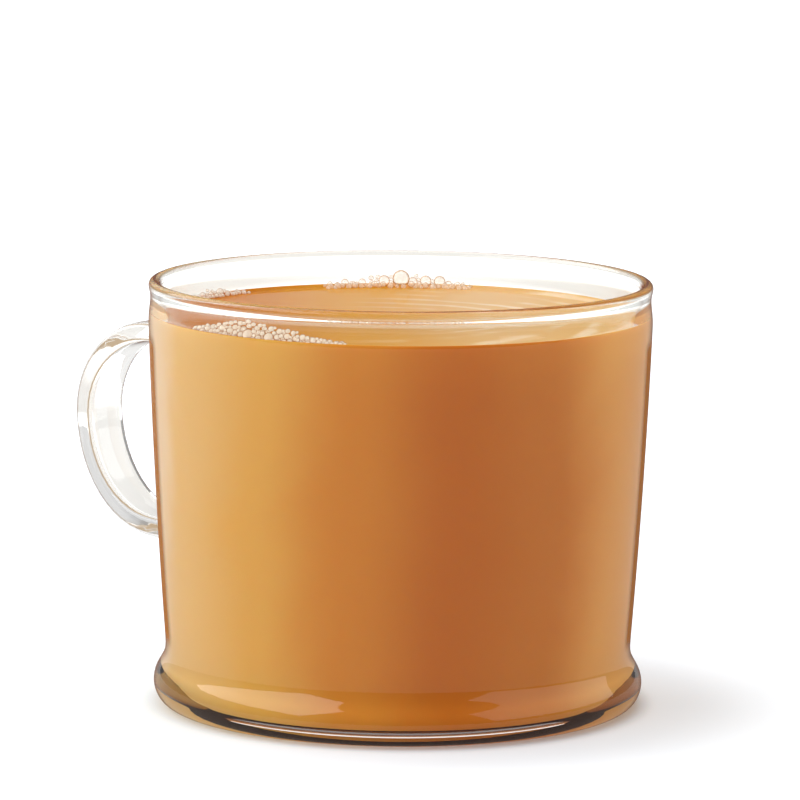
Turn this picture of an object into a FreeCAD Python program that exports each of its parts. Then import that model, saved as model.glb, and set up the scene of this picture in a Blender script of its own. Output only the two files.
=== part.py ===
"""Glass cup of milky coffee: a pressed clear glass cup with a strap handle, filled nearly to its rim.

Frame: the origin is the centre of the flat underside, +Z points up and the handle points along -X.
"""
import FreeCAD, Part
import math
import os

Vector = FreeCAD.Vector
UP = Vector(0, 0, 1)

# --- glass body (mm) ----------------------------------------------------------------------------
CUP_HEIGHT = 74.4          # underside to the top of the lip
RIM_RADIUS = 44.0          # outside of the bead round the lip
LIP_THICKNESS = 2.1        # the bead is a full round of this width
NECK_INSET = 0.4           # how far the groove under the bead lies inside the rim radius
NECK_DROP = 2.7            # lip top down to the groove
SHOULDER_INSET = 0.05      # the same where the wall starts to turn into the groove
SHOULDER_DROP = 7.4        # lip top down to the shoulder
WALL_FLARE = 4.4           # degrees that the wall leans outward at its foot
WAIST_INSET = 3.2          # the same at the narrow place above the foot
WAIST_HEIGHT = 10.0
WAIST_WALL = 2.4           # glass thickness low in the wall
FOOT_INSET = 1.05          # the same at the widest place of the rounded foot
FOOT_HEIGHT = 3.9          # height of the foot's widest place
FOOT_TUCK = 2.75           # how far the foot draws in from there to the flat underside
BASE_THICKNESS = 2.4       # glass under the drink
INNER_CORNER = 4.0         # radius between floor and wall inside

# --- strap handle -------------------------------------------------------------------------------
HANDLE_TOP = 61.3          # height of the strap's middle where it leaves the wall
HANDLE_BOTTOM = 25.5       # height of the strap's middle where it comes back
HANDLE_WIDEST = 46.0       # height at which the strap stands out most
HANDLE_REACH = 22.9        # how far the strap's middle stands out from the rim radius there
UPPER_BEND = 14.9          # how far out the upper bend reaches beyond its straight run
LOWER_BEND = 16.9          # the same for the lower bend
STRAP_THICKNESS = 3.6      # seen from the side
STRAP_WIDTH = 10.3         # seen from behind the handle
STRAP_EDGE = 1.3           # rounding of the strap's four long edges
ROOT_FILLET = 2.6          # glass drawn out where the strap meets the wall
ROOT_DEPTH = 1.2           # how far the strap is sunk into the wall

# --- drink --------------------------------------------------------------------------------------
COFFEE_LEVEL = 67.9        # height of the open surface
MENISCUS_RISE = 0.6        # how far the drink climbs the glass
MENISCUS_WIDTH = 2.2       # width of that climb

# --- bubbles left on the drink --------------------------------------------------------------------
# name: (bearing of the first bubble in degrees, radii along the wall, radii of the row inside it)
FOAM = {
    "foam_back": (108.0, (0.9, 1.4, 1.9, 1.6, 1.9, 1.5, 1.8, 1.2, 0.9), (0.8, 1.2, 1.5, 1.3, 1.0)),
    "foam_left": (165.0, (0.7, 0.9, 1.1, 1.3, 1.2, 1.3, 1.0, 1.1, 0.8), (0.8, 0.9, 0.7)),
    "foam_front": (-116.0, (1.3, 1.6, 1.8, 1.6, 1.7, 1.5, 1.4, 1.2, 1.1, 0.9, 0.8, 0.7, 0.6),
                   (1.1, 1.4, 1.5, 1.3, 1.2, 1.0, 0.9)),
}
BUBBLE_FLOAT = 0.35        # share of a bubble's radius that its centre stands above the surface
BUBBLE_PACKING = 0.80      # centre distance of neighbours as a share of their two radii
WALL_CONTACT = 0.15        # how deep each outer bubble is flattened by the glass


def profile_point(radius, height):
    """Point of the half section, which is drawn in the XZ plane."""
    return Vector(radius, 0, height)


def flare_direction():
    """Direction of the wall at its lower end, outside and inside."""
    lean = math.radians(WALL_FLARE)
    return Vector(math.sin(lean), 0, math.cos(lean))


def arc_from_tangent(start, direction, end):
    """Arc that leaves start along direction and ends at end."""
    chord = end - start
    normal = Vector(direction.z, 0, -direction.x)
    radius = chord.Length ** 2 / (2 * chord.dot(normal))
    centre = start + normal * radius
    middle_way = (start + end) * 0.5 - centre
    middle = centre + middle_way.normalize() * abs(radius)
    return Part.Arc(start, middle, end).toShape()


def bend(start, leave, end, arrive):
    """Smooth curve that leaves start along one direction and arrives at end along another."""
    reach = (end - start).Length * 0.4
    poles = [start, start + leave * reach, end - arrive * reach, end]
    curve = Part.BezierCurve()
    curve.setPoles(poles)
    return curve.toShape()


def revolved(edges):
    """Solid of revolution about Z from the edges of a closed half section."""
    face = Part.Face(Part.Wire(edges))
    return face.revolve(Vector(0, 0, 0), UP, 360)


def lip_inner():
    """Point where the full round of the lip meets the inside of the wall."""
    return profile_point(RIM_RADIUS - LIP_THICKNESS, CUP_HEIGHT - LIP_THICKNESS / 2)


def inside_edges():
    """Edges of the inside, from the middle of the floor up to the lip."""
    flare = flare_direction()
    wall_start = profile_point(RIM_RADIUS - WAIST_INSET - WAIST_WALL,
                               BASE_THICKNESS + INNER_CORNER * (1 - flare.x))
    corner_centre = profile_point(wall_start.x - INNER_CORNER * flare.z,
                                  BASE_THICKNESS + INNER_CORNER)
    floor_end = corner_centre - UP * INNER_CORNER
    half_turn = math.radians((90 + WALL_FLARE) / 2)
    corner_middle = corner_centre + Vector(math.cos(half_turn), 0, -math.sin(half_turn)) * INNER_CORNER
    return [
        Part.LineSegment(profile_point(0, BASE_THICKNESS), floor_end).toShape(),
        Part.Arc(floor_end, corner_middle, wall_start).toShape(),
        arc_from_tangent(wall_start, flare, lip_inner()),
    ]


def outside_edges():
    """Edges of the outside, from the middle of the underside up to the lip."""
    flare = flare_direction()
    foot_side = profile_point(RIM_RADIUS - FOOT_INSET, FOOT_HEIGHT)
    foot_centre = foot_side - Vector(FOOT_TUCK, 0, 0)
    ground_end = foot_centre - UP * FOOT_HEIGHT
    waist = profile_point(RIM_RADIUS - WAIST_INSET, WAIST_HEIGHT)
    shoulder = profile_point(RIM_RADIUS - SHOULDER_INSET, CUP_HEIGHT - SHOULDER_DROP)
    neck = profile_point(RIM_RADIUS - NECK_INSET, CUP_HEIGHT - NECK_DROP)
    bead = profile_point(RIM_RADIUS, CUP_HEIGHT - LIP_THICKNESS / 2)
    wall = arc_from_tangent(waist, flare, shoulder)
    wall_end = wall.tangentAt(wall.LastParameter)
    return [
        Part.LineSegment(profile_point(0, 0), ground_end).toShape(),
        quarter_ellipse(ground_end, foot_side, foot_centre),
        bend(foot_side, UP, waist, flare),
        wall,
        bend(shoulder, wall_end, neck, UP),
        bend(neck, UP, bead, UP),
    ]


def make_body():
    """The glass without its handle."""
    bead = profile_point(RIM_RADIUS, CUP_HEIGHT - LIP_THICKNESS / 2)
    crest = profile_point(RIM_RADIUS - LIP_THICKNESS / 2, CUP_HEIGHT)
    lip = Part.Arc(bead, crest, lip_inner()).toShape()
    axis = Part.LineSegment(profile_point(0, BASE_THICKNESS), profile_point(0, 0)).toShape()
    return revolved(outside_edges() + [lip] + inside_edges()[::-1] + [axis])


def make_cavity():
    """The space inside the glass, closed flat where the lip begins."""
    top = profile_point(0, lip_inner().z)
    lid = Part.LineSegment(lip_inner(), top).toShape()
    axis = Part.LineSegment(top, profile_point(0, BASE_THICKNESS)).toShape()
    return revolved(inside_edges() + [lid, axis])


def radius_at(edges, height):
    """Largest radius at which the edges of a half section cross a height."""
    level = Part.LineSegment(profile_point(0, height), profile_point(2 * RIM_RADIUS, height)).toShape()
    return max(vertex.X for edge in edges for vertex in edge.section(level).Vertexes)


def strap_path():
    """Middle line of the strap, in the plane of the handle, from its upper to its lower root."""
    outside = outside_edges()
    top_start = Vector(ROOT_DEPTH - radius_at(outside, HANDLE_TOP), 0, HANDLE_TOP)
    bottom_end = Vector(ROOT_DEPTH - radius_at(outside, HANDLE_BOTTOM), 0, HANDLE_BOTTOM)
    widest = Vector(-RIM_RADIUS - HANDLE_REACH, 0, HANDLE_WIDEST)
    upper_corner = Vector(widest.x + UPPER_BEND, 0, HANDLE_TOP)
    lower_corner = Vector(widest.x + LOWER_BEND, 0, HANDLE_BOTTOM)
    return Part.Wire([
        Part.LineSegment(top_start, upper_corner).toShape(),
        quarter_ellipse(upper_corner, widest, Vector(upper_corner.x, 0, HANDLE_WIDEST)),
        quarter_ellipse(widest, lower_corner, Vector(lower_corner.x, 0, HANDLE_WIDEST)),
        Part.LineSegment(lower_corner, bottom_end).toShape(),
    ])


def quarter_ellipse(start, end, centre):
    """Quarter of an ellipse between the ends of two half axes, as a smooth cubic curve."""
    circle_share = 4 * (math.sqrt(2) - 1) / 3
    curve = Part.BezierCurve()
    curve.setPoles([start, start + (end - centre) * circle_share, end + (start - centre) * circle_share, end])
    return curve.toShape()


def strap_section(origin):
    """Rounded rectangle across the strap, at the upper root and facing along X."""
    half_width = STRAP_WIDTH / 2
    half_thickness = STRAP_THICKNESS / 2
    corners = [Vector(origin.x, y * half_width, origin.z + z * half_thickness)
               for y, z in ((-1, -1), (1, -1), (1, 1), (-1, 1))]
    edges = []
    for index, corner in enumerate(corners):
        before = (corners[index - 1] - corner).normalize() * STRAP_EDGE
        after = (corners[(index + 1) % 4] - corner).normalize() * STRAP_EDGE
        centre = corner + before + after
        middle = centre + (corner - centre).normalize() * STRAP_EDGE
        next_corner = corners[(index + 1) % 4]
        edges.append(Part.Arc(corner + before, middle, corner + after).toShape())
        edges.append(Part.LineSegment(corner + after, next_corner - after).toShape())
    return Part.Wire(edges)


def make_strap():
    """The handle's strap, swept along its middle line and kept square to the handle's plane."""
    path = strap_path()
    sweep = Part.BRepOffsetAPI.MakePipeShell(path)
    sweep.setBiNormalMode(Vector(0, 1, 0))
    sweep.add(strap_section(path.Edges[0].valueAt(path.Edges[0].FirstParameter)), False, False)
    sweep.build()
    sweep.makeSolid()
    return sweep.shape()


def is_root_edge(edge):
    """Whether an edge runs round the place where the strap enters the wall."""
    box = edge.BoundBox
    on_wall = box.XMax < 0 and abs(box.YMax) <= STRAP_WIDTH / 2 + 0.01 and box.XMin > -RIM_RADIUS
    wide_enough = box.YLength < STRAP_WIDTH + 0.01
    return on_wall and wide_enough and box.ZMax - box.ZMin < STRAP_THICKNESS + 0.01


def make_glass():
    """Body and handle as the one piece of glass that they are."""
    glass = make_body().fuse(make_strap()).removeSplitter()
    roots = [edge for edge in glass.Edges if is_root_edge(edge)]
    return glass.makeFillet(ROOT_FILLET, roots).Solids[0]


def make_coffee(cavity):
    """The drink: it fills the glass up to its level and climbs the wall a little."""
    contact_height = COFFEE_LEVEL + MENISCUS_RISE
    contact = profile_point(radius_at(inside_edges(), contact_height), contact_height)
    flat_end = profile_point(contact.x - MENISCUS_WIDTH, COFFEE_LEVEL)
    outer = contact + Vector(LIP_THICKNESS, 0, 0)
    climb = Part.BezierCurve()
    climb.setPoles([flat_end, profile_point(contact.x - MENISCUS_WIDTH / 3, COFFEE_LEVEL), contact])
    section = [
        Part.LineSegment(profile_point(0, 0), profile_point(0, COFFEE_LEVEL)).toShape(),
        Part.LineSegment(profile_point(0, COFFEE_LEVEL), flat_end).toShape(),
        climb.toShape(),
        Part.LineSegment(contact, outer).toShape(),
        Part.LineSegment(outer, profile_point(outer.x, 0)).toShape(),
        Part.LineSegment(profile_point(outer.x, 0), profile_point(0, 0)).toShape(),
    ]
    return cavity.common(revolved(section)).Solids[0]


def bubble(bearing, distance, radius):
    """One round bubble, floating at a bearing and a distance from the axis, its seam towards the wall."""
    sphere = Part.makeSphere(radius, Vector(distance, 0, COFFEE_LEVEL + radius * BUBBLE_FLOAT))
    return sphere.rotated(Vector(0, 0, 0), UP, bearing)


def bubble_row(first_bearing, radii, clearance):
    """Bubbles side by side along the wall, each one this far from the glass."""
    wall_radius = radius_at(inside_edges(), COFFEE_LEVEL)
    row = []
    bearing = first_bearing
    for index, radius in enumerate(radii):
        if index:
            step = (radii[index - 1] + radius) * BUBBLE_PACKING
            bearing += math.degrees(step / wall_radius)
        row.append(bubble(bearing, wall_radius - clearance - radius, radius))
    return row


def make_foam(name, headspace):
    """A patch of bubbles that rests on the drink and against the glass."""
    first_bearing, wall_radii, inner_radii = FOAM[name]
    wall_row = bubble_row(first_bearing, wall_radii, -WALL_CONTACT)
    inner_row = bubble_row(first_bearing + 4.0, inner_radii, 1.6 * sum(wall_radii) / len(wall_radii))
    bubbles = wall_row + inner_row
    patch = bubbles[0].multiFuse(bubbles[1:])
    return patch.common(headspace)


def main():
    """Build every piece and write one STEP file for each."""
    os.makedirs("parts", exist_ok=True)
    cavity = make_cavity()
    coffee = make_coffee(cavity)
    nodes = {"glass_cup": make_glass(), "coffee": coffee}
    headspace = cavity.cut(coffee)
    for name in FOAM:
        nodes[name] = make_foam(name, headspace)
    for name, shape in nodes.items():
        shape.exportStep("parts/" + name + ".step")
        print(name, "solids", len(shape.Solids), "valid", shape.isValid(), "volume", round(shape.Volume, 1))


main()
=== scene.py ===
"""Looks of a clear glass cup of milky coffee with bubbles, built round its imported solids.

Lengths are in metres and the handle points along -X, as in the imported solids.
"""

import logging
import math
import random
from dataclasses import dataclass
from enum import Enum
from typing import Any

import bmesh
import bpy
from mathutils import Matrix, Vector


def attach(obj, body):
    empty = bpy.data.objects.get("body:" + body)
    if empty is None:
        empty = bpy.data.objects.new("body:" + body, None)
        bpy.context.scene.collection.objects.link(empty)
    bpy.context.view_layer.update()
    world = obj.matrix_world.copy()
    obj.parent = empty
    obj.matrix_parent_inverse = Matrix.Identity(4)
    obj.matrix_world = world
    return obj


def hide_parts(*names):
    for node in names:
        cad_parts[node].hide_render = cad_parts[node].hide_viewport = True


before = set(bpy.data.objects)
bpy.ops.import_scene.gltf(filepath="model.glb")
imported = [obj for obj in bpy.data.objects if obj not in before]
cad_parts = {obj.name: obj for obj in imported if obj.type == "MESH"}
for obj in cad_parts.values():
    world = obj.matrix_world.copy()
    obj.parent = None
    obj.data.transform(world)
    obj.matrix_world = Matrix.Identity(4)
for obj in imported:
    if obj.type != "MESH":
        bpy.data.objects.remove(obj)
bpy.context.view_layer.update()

LOG = logging.getLogger("cup")
MM = 0.001
SEGMENTS = 96              # faces round the cup before the final subdivision
FINAL_LEVELS = 1           # subdivision of glass and drink
FIRST_RING = 0.3           # share of a flat floor's radius that its middle disc takes up
BUBBLE_FOOT = -0.55        # height, in radii, below which a bubble is flattened by the drink
BUBBLE_FLATTENING = 0.5
CORNER_STEPS = 5           # faces round the inner corner, the same for glass and drink
WALL_STEP = 3.4 * MM       # distance between rings on the wall
FLOOR_STEP = 8 * MM        # distance between rings on a flat floor
BEND_REACH = 0.4           # distance of a bend's poles from its ends, as a share of its chord
SAME_POINT = 0.001 * MM    # points nearer than this are merged
WHITE = (1.0, 1.0, 1.0, 1.0)
Profile = list[tuple[float, float]]
FRONT = Vector((math.sin(math.radians(35)), -math.cos(math.radians(35)), 0))   # the cup's chosen front
RIGHT = Vector((math.cos(math.radians(35)), math.sin(math.radians(35)), 0))    # right of that front


# --------------------------------------------------------------------------------------------------
# Small helpers
# --------------------------------------------------------------------------------------------------
def deselect_all() -> None:
    """Deselect every object."""
    bpy.ops.object.select_all(action="DESELECT")


def linear_colour(hex_code: str) -> tuple[float, float, float, float]:
    """Turn an sRGB hex colour into the linear colour that shaders take.

    Args:
        hex_code: Colour as "#RRGGBB".

    Returns:
        Linear red, green, blue and a full alpha.
    """
    channels = []
    for start in (1, 3, 5):
        value = int(hex_code[start:start + 2], 16) / 255
        channels.append(value / 12.92 if value <= 0.04045 else ((value + 0.055) / 1.055) ** 2.4)
    return (channels[0], channels[1], channels[2], 1.0)


def add_node(tree: bpy.types.NodeTree, kind: str, inputs: dict[Any, Any] | None = None,
             links: dict[Any, bpy.types.NodeSocket] | None = None, **settings: Any) -> bpy.types.Node:
    """Add one node with its settings, input values and links.

    Args:
        tree: Node tree that gets the node.
        kind: Blender's name of the node type.
        inputs: Values for input sockets, by name or index.
        links: Output sockets to join to input sockets, by name or index.
        **settings: Properties of the node itself.

    Returns:
        The new node.
    """
    node = tree.nodes.new(kind)
    for key, value in settings.items():
        setattr(node, key, value)
    for key, value in (inputs or {}).items():
        node.inputs[key].default_value = value
    for key, socket in (links or {}).items():
        tree.links.new(socket, node.inputs[key])
    return node


def empty_material(name: str) -> bpy.types.Material:
    """Make a node material with nothing in it.

    Args:
        name: Name of the material.

    Returns:
        The empty material.
    """
    material = bpy.data.materials.new(name)
    material.use_nodes = True
    material.node_tree.nodes.clear()
    return material


def spaced(start: float, end: float, step: float) -> list[float]:
    """Divide a length evenly.

    Args:
        start: First value.
        end: Last value.
        step: Largest distance between neighbours.

    Returns:
        Evenly spaced values after start, up to and including end.
    """
    count = max(1, math.ceil(abs(end - start) / step - 1e-6))
    return [start + (end - start) * (index + 1) / count for index in range(count)]


def oval_points(centre: tuple[float, float], half_axes: tuple[float, float], first: float, last: float,
                steps: int) -> Profile:
    """Points along part of a circle or an upright oval in a half section, without its first point.

    Args:
        centre: Radius and height of the oval's centre.
        half_axes: Half of its width and half of its height.
        first: Bearing of its start in degrees, 0 outward and 90 up.
        last: Bearing of its end.
        steps: Number of points.

    Returns:
        Pairs of radius and height.
    """
    points = []
    for index in range(1, steps + 1):
        angle = math.radians(first + (last - first) * index / steps)
        points.append((centre[0] + half_axes[0] * math.cos(angle),
                       centre[1] + half_axes[1] * math.sin(angle)))
    return points


def bend_points(start: Vector, leave: Vector, end: Vector, arrive: Vector, steps: int) -> Profile:
    """Points along a smooth bend between two directions, without its first point.

    Args:
        start: Radius and height at the start.
        leave: Direction at the start.
        end: Radius and height at the end.
        arrive: Direction at the end.
        steps: Number of points.

    Returns:
        Pairs of radius and height.
    """
    reach = (end - start).length * BEND_REACH
    first_pole, second_pole = start + leave * reach, end - arrive * reach
    points = []
    for index in range(1, steps + 1):
        t = index / steps
        point = (start * (1 - t) ** 3 + first_pole * 3 * t * (1 - t) ** 2
                 + second_pole * 3 * t * t * (1 - t) + end * t ** 3)
        points.append((point.x, point.y))
    return points


@dataclass(frozen=True)
class LeaningArc:
    """Slightly bowed wall that leaves its foot at a known lean, in the half section."""

    foot: tuple[float, float]
    top: tuple[float, float]
    lean: float

    def circle(self) -> tuple[float, float, float]:
        """Centre and radius of the circle that the wall follows.

        Returns:
            Radius and height of the centre, and the circle's radius.
        """
        chord = Vector(self.top) - Vector(self.foot)
        inward = Vector((-math.cos(self.lean), math.sin(self.lean)))
        radius = chord.length_squared / (2 * chord.dot(inward))
        centre = Vector(self.foot) + inward * radius
        return centre.x, centre.y, radius

    def radius_at(self, height: float) -> float:
        """Distance of the wall from the axis.

        Args:
            height: Height at which it is taken.

        Returns:
            The wall's radius there.
        """
        centre_x, centre_z, radius = self.circle()
        side = 1 if radius > 0 else -1
        return centre_x + side * math.sqrt(radius * radius - (height - centre_z) ** 2)

    def direction_at_top(self) -> Vector:
        """Direction of the wall at its upper end.

        Returns:
            Unit vector that points up along the wall.
        """
        centre_x, centre_z, _ = self.circle()
        along = Vector((centre_z - self.top[1], self.top[0] - centre_x))
        return along.normalized() * (1 if along.y > 0 else -1)


# --------------------------------------------------------------------------------------------------
# Finishes
# --------------------------------------------------------------------------------------------------
class Finish(Enum):
    """Names of the three finishes: glass, coffee and bubbles."""

    GLASS = "glass"
    COFFEE = "coffee"
    BUBBLES = "bubbles"


class DrinkFace(Enum):
    """Faces of the drink: against the glass and open to the air they look different because they meet
    different things, and the outer ring of the underside is painted in shade.
    """

    GLASS = "milky_coffee_against_glass"
    AIR = "milky_coffee_surface"
    BASE = "milky_coffee_underside"


@dataclass(frozen=True)
class PressedGlass:
    """Soda-lime glass, pressed in a mould and fire polished: clear, with a very slight waviness."""

    tint: str = "#FAFBF9"
    ior: float = 1.52
    roughness: float = 0.0
    wave_size: float = 14 * MM         # distance between the soft waves that the mould leaves
    wave_depth: float = 0.02 * MM
    edge: str = "#7C4520"              # painted reflection of the drink's brown, where the glass turns away from the eye
    edge_turn: tuple[float, float] = (0.78, 0.97)          # how far it has turned there, at first and in full
    edge_cover: float = 0.75
    wall_edge: str = "#A05E16"         # beside the drink the painted line is wider and more orange
    wall_edge_turn: tuple[float, float] = (0.765, 0.85)
    wall_edge_cover: float = 0.85
    wall_bottom: float = 10 * MM       # the part of the wall beside the drink
    wall_top: float = 66 * MM
    wall_blend: float = 3 * MM
    strap_tint: str = "#F9F9F8"        # the strap is thicker than the wall and a little greyer
    strap_start: float = 45 * MM       # from the axis of the cup
    strap_blend: float = 2 * MM
    lamp_pass: str = "#EFEFEC"         # what each face of glass lets through of a lamp
    painted_glow_when_trapped: str = "#CBB394"           # painted glow, a light brown, where light turns inside the glass and would be lost
    trapped_turns: float = 3.5         # it counts as trapped after more turns than this

    def on_strap(self, tree: bpy.types.NodeTree, place: bpy.types.NodeSocket) -> bpy.types.NodeSocket:
        """Tell the strap from the body by its distance from the axis.

        Args:
            tree: Node tree of the material.
            place: Point on the glass.

        Returns:
            0 on the body and 1 on the strap.
        """
        level = add_node(tree, "ShaderNodeVectorMath", {1: (1.0, 1.0, 0.0)}, {0: place}, operation="MULTIPLY")
        distance = add_node(tree, "ShaderNodeVectorMath", None, {0: level.outputs[0]}, operation="LENGTH")
        share = add_node(tree, "ShaderNodeMapRange",
                         {"From Min": self.strap_start, "From Max": self.strap_start + self.strap_blend},
                         {"Value": distance.outputs["Value"]}, interpolation_type="SMOOTHSTEP")
        return share.outputs["Result"]

    def beside_drink(self, tree: bpy.types.NodeTree, place: bpy.types.NodeSocket,
                     strap: bpy.types.NodeSocket) -> bpy.types.NodeSocket:
        """Tell the wall beside the drink from the foot, the rim and the strap.

        Args:
            tree: Node tree of the material.
            place: Point on the glass.
            strap: 1 where that point is on the strap.

        Returns:
            1 beside the drink and 0 elsewhere.
        """
        height = add_node(tree, "ShaderNodeSeparateXYZ", None, {0: place})
        share = add_node(tree, "ShaderNodeMath", {0: 1.0}, {1: strap}, operation="SUBTRACT")
        for outside, inside in ((self.wall_bottom, self.wall_bottom + self.wall_blend),
                                (self.wall_top, self.wall_top - self.wall_blend)):
            ramp = add_node(tree, "ShaderNodeMapRange", {"From Min": outside, "From Max": inside},
                            {"Value": height.outputs["Z"]}, interpolation_type="SMOOTHSTEP")
            share = add_node(tree, "ShaderNodeMath", None, {0: share.outputs[0], 1: ramp.outputs["Result"]},
                             operation="MULTIPLY")
        return share.outputs[0]

    def outlined(self, tree: bpy.types.NodeTree, clear: bpy.types.NodeSocket,
                 full: bpy.types.NodeSocket) -> bpy.types.NodeSocket:
        """Paint a brown line, a painted reflection of the drink, where the glass turns away from the eye.

        Args:
            tree: Node tree of the material.
            clear: Shader of the clear glass.
            full: 1 beside the drink and 0 elsewhere.

        Returns:
            Shader of the clear glass with its painted outline.
        """
        turned = add_node(tree, "ShaderNodeLayerWeight", {"Blend": 0.5})
        covers = []
        for (first, last), most in ((self.edge_turn, self.edge_cover),
                                    (self.wall_edge_turn, self.wall_edge_cover)):
            ramp = add_node(tree, "ShaderNodeMapRange", {"From Min": first, "From Max": last, "To Max": most},
                            {"Value": turned.outputs["Facing"]}, interpolation_type="SMOOTHSTEP")
            covers.append(ramp.outputs["Result"])
        cover = add_node(tree, "ShaderNodeMix", None, {0: full, 2: covers[0], 3: covers[1]},
                         data_type="FLOAT")
        brown = add_node(tree, "ShaderNodeMix",
                         {6: linear_colour(self.edge), 7: linear_colour(self.wall_edge)},
                         {0: full}, data_type="RGBA")
        painted_reflection = add_node(tree, "ShaderNodeBsdfDiffuse", None, {"Color": brown.outputs[2]})
        mix = add_node(tree, "ShaderNodeMixShader", None,
                       {0: cover.outputs[0], 1: clear, 2: painted_reflection.outputs[0]})
        return mix.outputs[0]

    def make(self) -> bpy.types.Material:
        """Build the material.

        Returns:
            Clear glass that lets the lamps reach what is behind it.
        """
        material = empty_material("soda_lime_pressed_glass")
        tree = material.node_tree
        place = add_node(tree, "ShaderNodeTexCoord").outputs["Object"]
        waves = add_node(tree, "ShaderNodeTexNoise", {"Scale": 1 / self.wave_size, "Detail": 1.0},
                         {"Vector": place})
        relief = add_node(tree, "ShaderNodeBump", {"Strength": 1.0, "Distance": self.wave_depth},
                          {"Height": waves.outputs["Fac"]})
        strap = self.on_strap(tree, place)
        tint = add_node(tree, "ShaderNodeMix",
                        {6: linear_colour(self.tint), 7: linear_colour(self.strap_tint)},
                        {0: strap}, data_type="RGBA")
        clear = add_node(tree, "ShaderNodeBsdfPrincipled",
                         {"Roughness": self.roughness, "IOR": self.ior, "Transmission Weight": 1.0},
                         {"Base Color": tint.outputs[2], "Normal": relief.outputs["Normal"]})
        glass = self.outlined(tree, clear.outputs[0], self.beside_drink(tree, place, strap))
        # Light that has turned four times inside the glass would be lost and leave black specks, so a
        # light-brown glow is painted there instead.
        path = add_node(tree, "ShaderNodeLightPath")
        painted_glow_when_trapped = add_node(tree, "ShaderNodeMath", {1: self.trapped_turns}, {0: path.outputs["Glossy Depth"]},
                           operation="GREATER_THAN")
        painted_glow = add_node(tree, "ShaderNodeEmission", {"Color": linear_colour(self.painted_glow_when_trapped), "Strength": 1.0})
        whole = add_node(tree, "ShaderNodeMixShader", None,
                         {0: painted_glow_when_trapped.outputs[0], 1: glass, 2: painted_glow.outputs[0]})
        lamps_pass = add_node(tree, "ShaderNodeBsdfTransparent", {"Color": linear_colour(self.lamp_pass)})
        mix = add_node(tree, "ShaderNodeMixShader", None,
                       {0: path.outputs["Is Shadow Ray"], 1: whole.outputs[0], 2: lamps_pass.outputs[0]})
        add_node(tree, "ShaderNodeOutputMaterial", None, {"Surface": mix.outputs[0]})
        return material


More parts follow.
